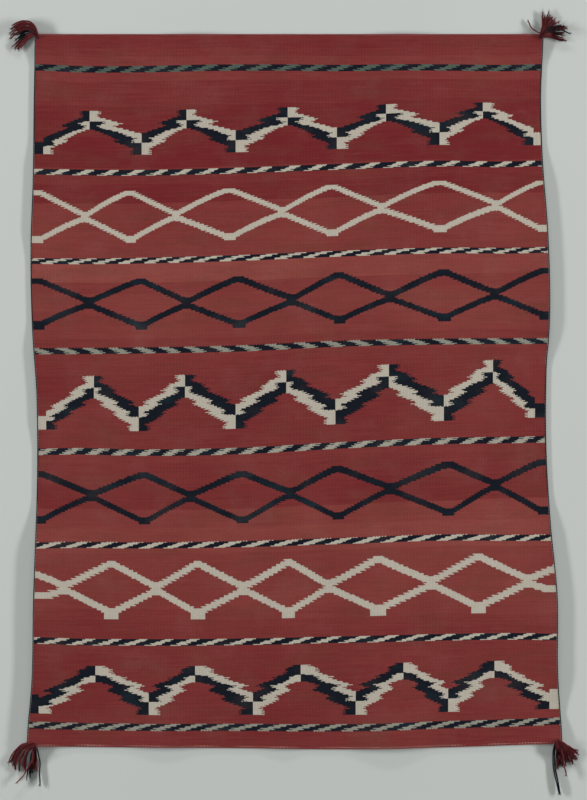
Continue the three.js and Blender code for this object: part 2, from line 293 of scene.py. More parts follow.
class SerapeColours(bpy.types.PropertyGroup):
    """The dyes."""

    deep_red: colour_of("Deep red", "The least faded red of the ground", dye(126, 38, 42))
    faded_red: colour_of("Faded red", "The most faded red of the ground", dye(160, 80, 73))
    brown: colour_of("Brown", "Where the red has turned brown", dye(122, 66, 52))
    white: colour_of("White", "Undyed wool", dye(208, 199, 183))
    slate: colour_of("Slate", "The grey-green of some beads", dye(91, 104, 94))
    navy: colour_of("Navy", "The near-black indigo", dye(16, 22, 34))
    teal: colour_of("Teal", "Where the indigo has faded", dye(27, 47, 56))
    tassel_red: colour_of("Tassel red", "The yarn of the tassels", dye(66, 16, 22))
    yarn_navy: colour_of("Yarn navy", "The navy yarn of the cords and tassels", dye(9, 12, 20))
    dust: colour_of("Dust", "Rubbed, dusty patches", dye(150, 132, 124))
    floor: colour_of("Floor", "The plain floor", dye(195, 199, 195))


class SerapeStudio(bpy.types.PropertyGroup):
    """The camera and the lights."""

    frame_height: length_of("Frame height", "Height of the picture at the floor", 2.048)
    centre_x: length_of("Centre X", "Middle of the picture, to the right of the origin", 0.0038)
    centre_y: length_of("Centre Y", "Middle of the picture, above the origin", -0.0211)
    camera_height: length_of("Camera height", "Camera above the floor", 4.8)
    floor_half: length_of("Floor half", "Half the floor's width", 5.0)
    side_power: bpy.props.FloatProperty(name="Side power", description="Watts of a side light", default=1090)
    top_power: bpy.props.FloatProperty(name="Top power", description="Watts of the top light", default=400)
    room: bpy.props.FloatProperty(name="Room", description="Strength of the light of the room", default=0.22)


class SerapeSettings(bpy.types.PropertyGroup):
    """All the sizes and colours of the serape."""

    cloth: bpy.props.PointerProperty(type=SerapeCloth, name="Cloth", description="The woven blanket")
    yarn: bpy.props.PointerProperty(type=SerapeYarn, name="Yarn", description="Cords, loops and tassels")
    colours: bpy.props.PointerProperty(type=SerapeColours, name="Colours", description="The dyes")
    studio: bpy.props.PointerProperty(type=SerapeStudio, name="Studio", description="Camera and lights")


# The surface of the cloth


def smoothstep(value, low, high):
    """3t^2 - 2t^3 of the share t of the way from low to high."""
    share = np.clip((value - low) / (high - low), 0, 1)
    return share * share * (3 - 2 * share)


def spline(table, share):
    """A cubic through a table's rows at equal steps, at shares 0 to 1. Its slope at a row is half the
    difference of the rows beside it."""
    last = len(table) - 1
    place = np.clip(share, 0, 1) * last
    index = np.minimum(np.floor(place).astype(int), last)
    w = (place - index)[..., None]
    before, here = table[np.maximum(index - 1, 0)], table[index]
    after, beyond = table[np.minimum(index + 1, last)], table[np.minimum(index + 2, last)]
    start, end = (after - before) / 2, (beyond - here) / 2
    cube = 2 * here - 2 * after + start + end
    square = 3 * after - 3 * here - 2 * start - end
    return cube * w**3 + square * w**2 + start * w + here


def weft_rise(across, down):
    """How far the weft has risen: a spline across each row of the table, with what is added close to an
    edge dying away as exp(-(distance / EDGE_REACH)^2), eased down from row to row."""
    starts = WEFT_LINES[:, 0]
    row = np.clip(np.searchsorted(starts, down, side="right") - 1, 0, len(starts) - 2)
    left = np.exp(-((across / EDGE_REACH) ** 2))[..., None] * WEFT_LINES[:, 7]
    right = np.exp(-(((1 - across) / EDGE_REACH) ** 2))[..., None] * WEFT_LINES[:, 8]
    rises = spline(WEFT_LINES[:, 1:7].T, across) + left + right
    above = np.take_along_axis(rises, row[..., None], axis=-1)[..., 0]
    below = np.take_along_axis(rises, row[..., None] + 1, axis=-1)[..., 0]
    return above + (below - above) * smoothstep(down, starts[row], starts[row + 1])


def flat_point(cloth, across, down):
    """The cloth's x and y. x runs straight from the left edge to the right edge, and y is the top edge
    less the distance down, plus the weft's rise."""
    edges = spline(OUTLINE, down / cloth.length)
    x = edges[..., 0] + (edges[..., 1] - edges[..., 0]) * across
    return x, cloth.top_edge - down + weft_rise(across, down)


def ridge(x, y, x0, y0, x1, y1, half, height):
    """height times cosine squared of the distance from a line, out to half."""
    run, climb = x1 - x0, y1 - y0
    share = np.clip(((x - x0) * run + (y - y0) * climb) / (run**2 + climb**2), 0, 1)
    distance = np.hypot(x - x0 - run * share, y - y0 - climb * share)
    return height * np.cos(np.minimum(distance / half, 1) * np.pi / 2) ** 2


def lift(cloth, x, y):
    """How far the underside stands off the floor: the highest of the ripples and the corners' lifts."""
    height = np.zeros_like(x)
    for ripple in RIPPLES:
        height = np.maximum(height, ridge(x, y, *ripple))
    for across in (0.0, 1.0):
        for down in (0.0, cloth.length):
            cx, cy = (float(v) for v in flat_point(cloth, np.array(across), np.array(down)))
            height = np.maximum(height, ridge(x, y, cx, cy, cx, cy + 0.001, CORNER_HALF, CORNER_LIFT))
    return height


def cloth_point(cloth, across, down, above=0.0):
    """A point of the underside, or one above it, as x, y and z on the last axis."""
    across, down = np.broadcast_arrays(np.asarray(across, float), np.asarray(down, float))
    x, y = flat_point(cloth, across, down)
    return np.stack([x, y, lift(cloth, x, y) + above], axis=-1)


# Meshes from arrays


def new_piece(name, vertices, faces, uvs, materials, face_materials=None, tints=None):
    """A smooth mesh object at the origin from arrays, with a UV for each face's corners in turn."""
    mesh = bpy.data.meshes.new(name)
    mesh.from_pydata(vertices.tolist(), [], [face for block in faces for face in block.tolist()])
    layer = mesh.uv_layers.new(name="weave")
    layer.data.foreach_set("uv", np.concatenate([block.reshape(-1) for block in uvs]).astype(np.float32))
    mesh.polygons.foreach_set("use_smooth", np.ones(len(mesh.polygons), bool))
    for material in materials:
        mesh.materials.append(material)
    if face_materials is not None:
        mesh.polygons.foreach_set("material_index", face_materials.astype(np.int32))
    if tints is not None:
        mesh.attributes.new("tint", "FLOAT", "POINT").data.foreach_set("value", tints.astype(np.float32))
    mesh.update()
    piece = bpy.data.objects.new(name, mesh)
    bpy.context.scene.collection.objects.link(piece)
    return piece


def lengths_along(paths):
    """How far along its path each point is."""
    steps = np.linalg.norm(np.diff(paths, axis=-2), axis=-1)
    return np.concatenate([np.zeros_like(steps[..., :1]), np.cumsum(steps, axis=-1)], axis=-1)


def tubes(paths, radii, sides, cross=None):
    """Closed tubes along paths. paths is (tubes, steps, 3) and radii (tubes, steps). A ring's points stand
    at the path plus radius times (cos a * side + sin a * up), where side is level and up is square to
    side and to the path. cross, (tubes, steps, sides), scales the radius round the ring. Returns the
    vertices, the side and end faces, and their UVs: length along in metres, and share of the way round."""
    count, steps = radii.shape
    ahead = np.gradient(paths, axis=1)
    ahead /= np.linalg.norm(ahead, axis=-1, keepdims=True)
    side = np.stack([-ahead[..., 1], ahead[..., 0], np.zeros_like(radii)], axis=-1)
    side /= np.maximum(np.linalg.norm(side, axis=-1, keepdims=True), 1e-9)
    up = np.cross(ahead, side)
    angle = 2 * np.pi * np.arange(sides) / sides
    reach = radii[..., None] * (1 if cross is None else cross)
    ring = np.cos(angle)[:, None] * side[:, :, None] + np.sin(angle)[:, None] * up[:, :, None]
    rings = paths[:, :, None] + reach[..., None] * ring
    vertices = np.concatenate([rings.reshape(count, -1, 3), paths[:, [0, -1]]], axis=1)
    start = np.arange(count)[:, None, None] * (steps * sides + 2)
    i = np.arange(steps - 1)[None, :, None] * sides
    j = np.arange(sides)[None, None, :]
    k = (j + 1) % sides
    walls = np.stack([start + i + j, start + i + k, start + i + sides + k, start + i + sides + j], axis=-1)
    j, k, start = j[:, 0], k[:, 0], start[:, 0]
    back = start + (steps - 1) * sides
    middles = np.broadcast_to(start + steps * sides, (count, sides))
    heads = np.stack([middles, start + k, start + j], axis=-1)
    tails = np.stack([middles + 1, back + j, back + k], axis=-1)
    along = lengths_along(paths)
    near = np.broadcast_to(along[:, :-1, None], walls.shape[:3])
    far = np.broadcast_to(along[:, 1:, None], walls.shape[:3])
    turn = np.broadcast_to(np.arange(sides) / sides, walls.shape[:3])
    next_turn = turn + 1 / sides
    wall_uv = np.stack([near, turn, near, next_turn, far, next_turn, far, turn], axis=-1)
    end_uv = np.zeros(heads.size * 2)
    faces = [walls.reshape(-1, 4), heads.reshape(-1, 3), tails.reshape(-1, 3)]
    return vertices.reshape(-1, 3), faces, [wall_uv.reshape(-1), end_uv, end_uv + along[:, -1].max()]


# Shader formulas


def operation(kind, swapped=False):
    """A term's method that puts a math node of that kind into its tree."""

    def method(term, *others):
        values = (*others, term) if swapped else (term, *others)
        return new_node(term.tree, "Math", dict(enumerate(values)), operation=kind)

    return method


class Term:
    """A number in a node tree, so that a shader's formulas read as they are written."""

    __add__, __radd__ = operation("ADD"), operation("ADD", swapped=True)
    __sub__, __rsub__ = operation("SUBTRACT"), operation("SUBTRACT", swapped=True)
    __mul__, __rmul__ = operation("MULTIPLY"), operation("MULTIPLY", swapped=True)
    __truediv__, __pow__, __abs__ = operation("DIVIDE"), operation("POWER"), operation("ABSOLUTE")
    __lt__, __gt__ = operation("LESS_THAN"), operation("GREATER_THAN")
    least, most = operation("MINIMUM"), operation("MAXIMUM")
    floor, fract, round, cos = (operation(kind) for kind in ("FLOOR", "FRACT", "ROUND", "COSINE"))

    def __init__(self, tree, socket):
        self.tree = tree
        self.socket = socket

    def towards(self, other, share):
        """This value at share 0 and the other at share 1."""
        return self + (other - self) * share


def connect(slot, value):
    """Puts a term, a number or a colour into a socket."""
    if isinstance(value, Term):
        value.tree.links.new(value.socket, slot)
    elif isinstance(value, (int, float)):
        slot.default_value = value
    else:
        slot.default_value = tuple(value) if slot.type == "VECTOR" else (*value, 1.0)


def new_node(tree, kind, inputs, output=0, **settings):
    """Adds a node with those settings and inputs, and returns one of its outputs."""
    node = tree.nodes.new("ShaderNode" + kind)
    for name, value in settings.items():
        setattr(node, name, value)
    for key, value in inputs.items():
        connect(node.inputs[key], value)
    return Term(tree, node.outputs[output])


def blend_colour(share, first, second):
    """The first colour at share 0 and the second at share 1."""
    return new_node(share.tree, "Mix", {0: share, 6: first, 7: second}, 2, data_type="RGBA")


def scale_colour(colour, amount):
    """A colour times a number."""
    return new_node(amount.tree, "VectorMath", {0: colour, "Scale": amount}, operation="SCALE")


def vector(x, y, z=0.0):
    return new_node(x.tree, "CombineXYZ", {0: x, 1: y, 2: z})


def parts(place):
    """A vector's x and y."""
    split = place.tree.nodes.new("ShaderNodeSeparateXYZ")
    connect(split.inputs[0], place)
    return [Term(place.tree, output) for output in split.outputs[:2]]


def noise(place, scale, detail=2.0, rough=0.5):
    """Smooth noise around 0.5 at a place, with scale in lumps a metre."""
    inputs = {"Vector": place, "Scale": scale, "Detail": detail, "Roughness": rough}
    return new_node(place.tree, "TexNoise", inputs, "Fac")


def speckle(place):
    """A different number from 0 to 1 for each place."""
    return new_node(place.tree, "TexWhiteNoise", {"Vector": place}, "Value")


def chart(value, points):
    """value looked up on straight lines from point to point."""
    node = value.tree.nodes.new("ShaderNodeFloatCurve")
    curve = node.mapping.curves[0]
    curve.points[0].location = points[0]
    curve.points[1].location = points[-1]
    for point in points[1:-1]:
        curve.points.new(*point)
    for point in curve.points:
        point.handle_type = "VECTOR"
    node.mapping.extend = "HORIZONTAL"
    node.mapping.use_clip = False
    node.mapping.update()
    connect(node.inputs["Value"], value)
    return Term(value.tree, node.outputs[0])


def chart_across(x, points):
    """A chart of (x, value) from edge to edge of the cloth."""
    low, high = TURN_SPAN
    return chart((x - low) / (high - low), [((place - low) / (high - low), value) for place, value in points])


def label_of(key):
    """A socket's label: Row Down for row_down."""
    return key.replace("_", " ").title()


def new_group(name, inputs, outputs):
    """A shader node group whose inputs and outputs are numbers, named in one string each. Returns its
    output node and its inputs as terms."""
    tree = bpy.data.node_groups.new(name, "ShaderNodeTree")
    for side, keys in (("INPUT", inputs), ("OUTPUT", outputs)):
        for key in keys.split():
            tree.interface.new_socket(name=label_of(key), in_out=side, socket_type="NodeSocketFloat")
    entry = tree.nodes.new("NodeGroupInput")
    leave = tree.nodes.new("NodeGroupOutput")
    return leave, [Term(tree, entry.outputs[label_of(key)]) for key in inputs.split()]


def give(leave, **values):
    """Sets a group's outputs and returns the group."""
    for key, value in values.items():
        connect(leave.inputs[label_of(key)], value)
    return leave.id_data


def place_group(tree, group, **values):
    """Puts a group into a tree with values for its inputs, and returns its outputs by name."""
    node = tree.nodes.new("ShaderNodeGroup")
    node.node_tree = group
    for key, value in values.items():
        connect(node.inputs[label_of(key)], value)
    return {output.name.lower().replace(" ", "_"): Term(tree, output) for output in node.outputs}


# Shader node groups


def loom_grid_group():
    """Splits the cloth into the weft's passes over each warp, every other warp's half a pass higher. A
    colour fills a few passes at least, which make a row. Puts out the pass's and row's numbers and middle,
    the place inside the pass from -1 to 1, and a tooth that goes in and out from row to row."""
    leave, (x, down, warp, pick, picks) = new_group(
        "loom_grid",
        "x down warp pick picks",
        "column weft_pass row column_x row_down inner_x inner_down tooth",
    )
    column = (x / warp).floor()
    half = (column * 0.5).fract()
    passes = down / pick + half
    weft_pass = passes.floor()
    row = (weft_pass / picks).floor()
    return give(
        leave,
        column=column,
        weft_pass=weft_pass,
        row=row,
        column_x=(column + 0.5) * warp,
        row_down=((row + 0.5) * picks - half) * pick,
        inner_x=(x / warp - column) * 2 - 1,
        inner_down=(passes - weft_pass) * 2 - 1,
        tooth=(row * 0.5).fract() * 4 - 1,
    )


def zigzag_group(band):
    """A zigzag of limbs that cross-change white and navy at each turn. With t the share of the way from
    the nearest crown's axis to the next foot's, and h the share of the height, a limb fills t from
    1 - foot(1 - h) to crown(h), and changes colour at swap(h), with a tooth at each row. Beyond the
    outermost feet, only a block of the foot's lower colour runs on to the edge, below the share end, and
    the limbs that lead to it have crown and swap lowered by t * drop."""
    leave, (phase, row, row_down, tooth, top, height, white_right, end, drop) = new_group(
        band["name"], "phase row row_down tooth top height white_right end drop", "white navy"
    )
    repeats = phase / 2
    crown = repeats.round()
    right = repeats > crown
    t = abs(repeats - crown) * 2
    h = (row_down - top) / height
    wild = speckle(vector(row, phase.floor(), 3.0)) - 0.5
    tooth = (tooth + wild * 0.55) * ZIGZAG_TOOTH
    navy_gain = 0.085  # half of it widens the navy wherever the colour changes
    outermost = (phase < 0) + (phase > 8)
    slanted = h - t * outermost * drop
    outer = chart(slanted, band["crown"])
    inner = 1 - chart(1 - h, band["foot"])
    limb = (h > 0) * (t < outer + tooth * (outer < 0.98)) * (t > inner + tooth * (inner > 0.02))
    beyond = (phase < -1) + (phase > 9)
    inside = limb.towards(h > end, beyond) * (h < 1)
    swap = chart(slanted, band["swap"])
    sloping = (swap > 0.02) * (swap < 0.98)
    white_above = 1 - abs(right - white_right)
    above = (t > swap + (tooth + (white_above - 0.5) * navy_gain) * sloping) * (1 - beyond)
    white = 1 - abs(above - white_above)
    return give(leave, white=inside * white, navy=inside * (1 - white))


def diamonds_group():
    """Two lines that meet and part, each a stroke high. t is the share of the way from the nearest crossing
    to the next point. The limbs that rise to the right are bent: b is t^bend below the middle and
    1 - (1 - t)^bend above it, and elsewhere t. With s the share of b's way from knot to 0.94, a line's inner
    edge lies (reach - stroke / 2) * s from the middle, and its outer edge a stroke beyond that, but never
    nearer than 0.9 strokes. s ends at 1, or at 1.05 for the inner edge above the middle. The lower line's
    points have a small square foot. Where short is 1, the limbs beyond the outermost crossings flatten
    out, with t * (1 - 0.9 * t) in place of t below the middle and t * (1 - 0.3 * t) above it."""
    leave, inputs = new_group("diamonds", "phase row row_down tooth " + " ".join(DIAMOND_PARTS), "line")
    phase, row, row_down, tooth, middle, rise, fall, stroke, bend, knot = inputs[:10]
    rising_teeth, falling_teeth, foot_size, short = inputs[10:]
    repeats = phase / 2
    crossing = repeats.round()
    right = repeats > crossing
    height = middle - row_down
    above = height > 0
    rising = 1 - abs(right - above)
    wild = speckle(vector(row, phase.floor(), 7.0)) - 0.5
    tooth = (tooth + wild * 0.3) * falling_teeth.towards(rising_teeth, rising)
    beyond = ((phase < 0) + (phase > 10)) * short
    t = abs(repeats - crossing) * 2
    t = t * (1 - t * beyond * (0.9 - above * 0.6))
    bent = abs(above - abs(above - t) ** bend)
    gone = (t.towards(bent, rising) + tooth * DIAMOND_TOOTH - knot) / (0.94 - knot)
    reach = fall.towards(rise, above)
    half = stroke / 2
    inner = (reach - half) * gone.least(1 + above * 0.05)
    outer = ((reach - half) * gone.least(1) + stroke).most(stroke * 0.9)
    away = abs(height)
    line = (away > inner) * (away < outer)
    foot = (t > 0.9 - foot_size * 5) * (away > reach) * (away < reach + half + foot_size) * (1 - above)
    return give(leave, line=line.most(foot))


def beads_group():
    """A stripe of leaning beads, navy and pale in turn. With q the height from the middle as a share of
    the stripe's, a navy bead fills the first share, navy_share, of each whole number of
    (x - start - drift + lean * q) / pair."""
    leave, (column_x, row, row_down, tooth, middle, height, start, pair, lean, navy_share) = new_group(
        "beads", "column_x row row_down tooth " + " ".join(BEAD_PARTS), "pale navy"
    )
    q = (row_down - middle) / height
    inside = abs(q) < 0.5
    drift = chart_across(column_x, [(x, 0.5 + drift / DRIFT_SPAN) for x, drift in BEAD_DRIFT])
    wild = (speckle(vector(row, middle, 5.0)) - 0.5) * 0.008
    run = column_x - start - (drift - 0.5) * DRIFT_SPAN + lean * q + wild + tooth * BEAD_TOOTH
    navy = (run / pair).fract() < navy_share
    return give(leave, pale=inside * (1 - navy), navy=inside * navy)


def dye_lots_group(length):
    """The red ground: a blend from deep to faded red, stepped at each dye lot, with soft blotches,
    streaks along the weft and a share of brown."""
    leave, (x, row_down) = new_group("dye_lots", "x row_down", "fade brown")
    tree = leave.id_data
    ramp = tree.nodes.new("ShaderNodeValToRGB")
    ramp.color_ramp.interpolation = "CONSTANT"
    stops = ramp.color_ramp.elements
    stops[0].color = (*DYE_LOTS[0][1:], 0.0, 1.0)
    stops[1].color = (*DYE_LOTS[-1][1:], 0.0, 1.0)
    for start, *faded in DYE_LOTS[1:]:
        stops.new(start / length).color = (*faded, 0.0, 1.0)
    wander = noise(vector(x, 0.0), 3.0, 1.0) - 0.5
    connect(ramp.inputs["Fac"], (row_down + wander * 0.004 + 0.003) / length)
    left, right = parts(Term(tree, ramp.outputs["Color"]))
    width = 1.3
    lot = left.towards(right, (x / width + 0.5).most(0).least(1))
    blotch = noise(vector(x, row_down), 3.2, 3.0) - 0.5
    streak = noise(vector(x * 0.035, row_down), 240.0, 2.0) - 0.5
    brown = noise(vector(x * 0.3, row_down, 7.0), 24.0, 4.0, 0.6) - 0.47
    return give(
        leave,
        fade=(lot + blotch * 0.7 + streak * 0.6).most(0).least(1.3),
        brown=(brown * 1.8).most(0).least(0.5),
    )


def weft_relief_group():
    """Each pass of the weft over a warp is a small dome, (1 - 0.85 * u^2) * (1 - v^4) high for a place
    u, v from -1 to 1 inside it, with fine fibres along it. Puts out its height, and a painted shade,
    0.56 + 0.28 times the dome, that darkens the colour in the hollows between passes and dims it all over."""
    leave, (x, down, inner_x, inner_down) = new_group(
        "weft_relief", "x down inner_x inner_down", "height shade"
    )
    u2 = inner_x * inner_x
    v2 = inner_down * inner_down
    dome = (1 - u2 * 0.85) * (1 - v2 * v2)
    fibres = noise(vector(x * 0.25, down), 5200.0)
    # shade is painted shade: the colour darker in the hollows between the domes, and dimmed all over.
    return give(leave, height=dome + fibres * 0.25, shade=0.56 + dome * 0.28)


def wool_group():
    """Handspun wool: each pass a little lighter or darker, a soft felted bloom, and rubbed, dusty
    patches. Puts out a colour's brightness and a share of dust."""
    leave, (x, down, column, weft_pass) = new_group("wool", "x down column weft_pass", "brightness dust")
    each = speckle(vector(column, weft_pass, 1.0)) - 0.5
    place = vector(x, down)
    bloom = noise(place, 420.0, 3.0) - 0.5
    patch = noise(place, 11.0, 4.0, 0.6)
    rubbed = (patch - 0.5).most(0) * noise(place, 160.0)
    return give(leave, brightness=1 + each * 0.16 + bloom * 0.22, dust=rubbed * 0.5)


def yarn_twist_group():
    """A spun yarn's fibres, which wind round it: two ridges, one for each ply, that rise and fall as
    (1 + cos(4 pi * (along / turn + around))) / 2, with finer noise along the same helix. Puts out their
    height, and a painted shade, darker in the grooves between the plies, with the fibres' noise as a random
    tone."""
    leave, (along, around, turn) = new_group("yarn_twist", "along around turn", "height shade")
    wound = around + along / turn
    plies = (wound * (4 * np.pi)).cos() * 0.5 + 0.5
    fibres = noise(vector(along * 0.4, wound * turn), 1500.0, 3.0)
    # shade is painted shade in the grooves between the plies, plus a random tone from the fibres.
    return give(leave, height=plies * 0.7 + fibres * 0.5, shade=0.7 + plies * 0.2 + fibres * 0.3)


# Materials


def new_material(name, roughness, sheen):
    """A matt material with that roughness and sheen, and its node tree and shader."""
    material = bpy.data.materials.new(name)
    material.use_nodes = True
    shader = material.node_tree.nodes["Principled BSDF"]
    shader.inputs["Roughness"].default_value = roughness
    shader.inputs["Specular IOR Level"].default_value = 0.06
    shader.inputs["Sheen Weight"].default_value = sheen
    shader.inputs["Sheen Roughness"].default_value = 0.55
    return material, material.node_tree, shader


def bump(shader, height, distance):
    """Raises the shader's surface by a height from 0 to 1 times a distance."""
    raised = new_node(height.tree, "Bump", {"Strength": 1.0, "Distance": distance, "Height": height})
    connect(shader.inputs["Normal"], raised)


def weave_place(tree):
    """The two coordinates of the piece's UV map."""
    return parts(new_node(tree, "UVMap", {}, uv_map="weave"))


def turns_phase(x, turns):
    """Counts a band's turns from the left: -1 at the first, 0 at the second, and so on."""
    points = [(turn / 1000, number / MOST_TURNS) for number, turn in enumerate(turns)]
    return chart_across(x, points) * MOST_TURNS - 1


def woven_wool_material(settings):
    """The tapestry: dye lots of red with every band of the pattern laid over them, and a painted shade in the
    hollows between the passes.
    """
    colours, cloth = settings.colours, settings.cloth
    material, tree, shader = new_material("tapestry_wool", 0.92, 0.05)
    x, down = weave_place(tree)
    loom_grid, diamonds, beads = loom_grid_group(), diamonds_group(), beads_group()
    grids, cells = {}, {}
    for picks in (3, 4):
        grid = place_group(tree, loom_grid, x=x, down=down, warp=cloth.warp, pick=cloth.pick, picks=picks)
        grids[picks] = grid
        cells[picks] = {key: grid[key] for key in ("row", "row_down", "tooth")}
    grid = grids[3]
    column_x = grid["column_x"]
    white, navy, slate = [], [], []
    for band in ZIGZAGS:
        phase = turns_phase(column_x, band["turns"]) - 1
        limbs = place_group(tree, zigzag_group(band), phase=phase, **cells[3], **band["shape"])
        white.append(limbs["white"])
        navy.append(limbs["navy"])
    for colour, picks, turns, shape in DIAMONDS:
        phase = turns_phase(column_x, turns)
        lines = place_group(tree, diamonds, phase=phase, **cells[picks], **dict(zip(DIAMOND_PARTS, shape)))
        (white if colour == "white" else navy).append(lines["line"])
    for *shape, whiteness in BEADS:
        stripe = place_group(tree, beads, column_x=column_x, **cells[3], **dict(zip(BEAD_PARTS, shape)))
        navy.append(stripe["navy"])
        white.append(stripe["pale"] * whiteness)
        slate.append(stripe["pale"])
    ground = place_group(tree, dye_lots_group(cloth.length), x=x, row_down=grid["row_down"])
    wool = place_group(
        tree, wool_group(), x=x, down=down, column=grid["column"], weft_pass=grid["weft_pass"]
    )
    relief = place_group(
        tree, weft_relief_group(), x=x, down=down, inner_x=grid["inner_x"], inner_down=grid["inner_down"]
    )
    worn = noise(vector(column_x, grid["row_down"] * 2), 9.0)
    indigo = blend_colour((worn - 0.52).most(0) * 3.5, colours.navy, colours.teal)
    dyed = blend_colour(ground["fade"], colours.deep_red, colours.faded_red)
    dyed = blend_colour(ground["brown"], dyed, colours.brown)
    for masks, colour in ((slate, colours.slate), (white, colours.white), (navy, indigo)):
        dyed = blend_colour(sum(masks[1:], masks[0]), dyed, colour)
    # The relief's shade is painted shade, darker in the hollows between passes; the wool's brightness is a
    # random tone of each pass.
    dyed = scale_colour(dyed, wool["brightness"] * relief["shade"])
    dyed = blend_colour(wool["dust"], dyed, colours.dust)
    connect(shader.inputs["Base Color"], dyed)
    bump(shader, relief["height"], 0.00018)
    return material


def yarn_material(name, colour, faded, twist_group, turn, fading):
    """Plied yarn that follows its own length, with each strand a little lighter or darker, and a painted
    shade in the grooves between its plies.
    """
    material, tree, shader = new_material(name, 0.95, 0.04)
    along, around = weave_place(tree)
    twist = place_group(tree, twist_group, along=along, around=around, turn=turn)
    share = new_node(tree, "Attribute", {}, "Fac", attribute_name="tint")
    # The twist's shade is painted shade in the grooves between the plies; the tint makes each strand lighter
    # or darker at random.
    body = scale_colour(blend_colour(share * fading, colour, faded), twist["shade"] * (share * 0.35 + 0.85))
    connect(shader.inputs["Base Color"], body)
    bump(shader, twist["height"], 0.0004)


def floor_material(colour):
    """Plain pale paper with a very faint mottle."""
    material, tree, shader = new_material("floor_paper", 0.95, 0.0)
    mottle = noise(new_node(tree, "TexCoord", {}, "Object"), 2.5, 4.0) - 0.5
    connect(shader.inputs["Base Color"], scale_colour(colour, 1 + mottle * 0.04))
    return material


def yarn_materials(colours):
    """The yarns, made the first time that they are asked for: each one's dye and what it fades to, the
    length of one turn of its plies, and how far it fades."""
    yarns = {
        "plied_red": (colours.tassel_red, colours.faded_red, 0.007, 0.12),
        "plied_navy": (colours.yarn_navy, colours.teal, 0.007, 0.2),
        "twined_red": (colours.deep_red, colours.faded_red, 0.007, 0.4),
        "plied_white": (colours.white, colours.faded_red, 0.004, 0.9),
    }
    if "plied_red" not in bpy.data.materials:
        twist_group = yarn_twist_group()
        for name, (colour, faded, turn, fading) in yarns.items():
            yarn_material(name, colour, faded, twist_group, turn, fading)
    return {name: bpy.data.materials[name] for name in yarns}


# Pieces


def closed_sheet(under, over):
    """One closed sheet from its underside and its upper side, each (rows, columns, 3), joined round the
    rim. Returns the vertices and faces."""
    rows, columns = under.shape[:2]
    size = rows * columns
    i = (np.arange(rows - 1)[:, None] * columns + np.arange(columns - 1)).reshape(-1)
    down_side = np.stack([i, i + 1, i + columns + 1, i + columns], axis=-1)
    up_side = down_side[:, ::-1] + size
    index = np.arange(size).reshape(rows, columns)
    rim = np.concatenate([index[0, :-1], index[:-1, -1], index[-1, :0:-1], index[:0:-1, 0]])
    ahead = np.roll(rim, -1)
    wall = np.stack([rim, rim + size, ahead + size, ahead], axis=-1)
    vertices = np.concatenate([under.reshape(-1, 3), over.reshape(-1, 3)])
    return vertices, np.concatenate([down_side, up_side, wall])


def blanket_piece(settings):
    """The cloth on its ripples, with one narrow strip of faces along each edge. A fine cockle, the
    product of slow waves across and down, is added to the upper side."""
    cloth = settings.cloth
    hem, hem_share, cockled = 0.0005, 0.0004, 0.0002
    across = np.linspace(0, 1, cloth.columns + 1)
    across = np.sort(np.append(across, [hem_share, 1 - hem_share]))[None, :]
    down = np.linspace(0, cloth.length, cloth.rows + 1)
    down = np.sort(np.append(down, [hem, cloth.length - hem]))[:, None]
    under = cloth_point(cloth, across, down)
    cockle = np.sin(across * 61 + 2 * np.sin(down * 5)) * np.sin(down * 43 + 3 * np.sin(across * 7))
    over = under.copy()
    over[..., 2] += cloth.thickness + cockled * cockle
    vertices, faces = closed_sheet(under, over)
    far = np.tile(np.broadcast_to(down, under.shape[:2]).reshape(-1), 2)
    uv = np.stack([vertices[:, 0], far], axis=-1)[faces]
    piece = new_piece("woven_blanket", vertices, [faces], [uv], [woven_wool_material(settings)])
    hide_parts("blanket")
    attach(piece, "root")


def edge_path(settings, across, down, steps):
    """The middle of an edge cord, just outside the cloth's edge and resting where it rests. One of across
    and down is None, and the path runs along it."""
    cloth, yarn = settings.cloth, settings.yarn
    out = yarn.gap + yarn.cord
    share = np.linspace(0, 1, steps)
    if across is None:
        path = cloth_point(cloth, share, down, yarn.cord)
        path[:, 1] += out if down == 0 else -out
    else:
        path = cloth_point(cloth, across, share * cloth.length, yarn.cord)
        path[:, 0] += out if across else -out
    return path


def twined_cord(node, path, material, yarn, seed):
    """Two plies that wind round a path: each stands off it by the cord's half thickness less its own,
    at the angle 2 pi * along / turn, half a turn apart, with a slow waver in the turn."""
    along = lengths_along(path)
    ahead = np.gradient(path, axis=0)
    side = np.stack([-ahead[:, 1], ahead[:, 0], np.zeros(len(path))], axis=-1)
    side /= np.linalg.norm(side, axis=-1, keepdims=True)
    ply = yarn.cord * 0.56
    waver = 0.0015 * np.sin(along * 17 + seed) + 0.0012 * np.sin(along * 41 + 2 * seed)
    angle = 2 * np.pi * ((along + waver) / yarn.twining + np.array([[0.0], [0.5]]))
    offset = np.cos(angle)[..., None] * side + np.sin(angle)[..., None] * np.array([0, 0, 1.0])
    plies = path + (yarn.cord - ply) * offset
    vertices, faces, uvs = tubes(plies, np.full((2, len(path)), ply), 7)
    tints = 0.3 + 0.4 * np.sin(vertices[:, 0] * 23 + vertices[:, 1] * 31) ** 2
    piece = new_piece(f"twined_{node}", vertices, faces, uvs, [material], tints=tints)
    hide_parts(node)
    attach(piece, "root")


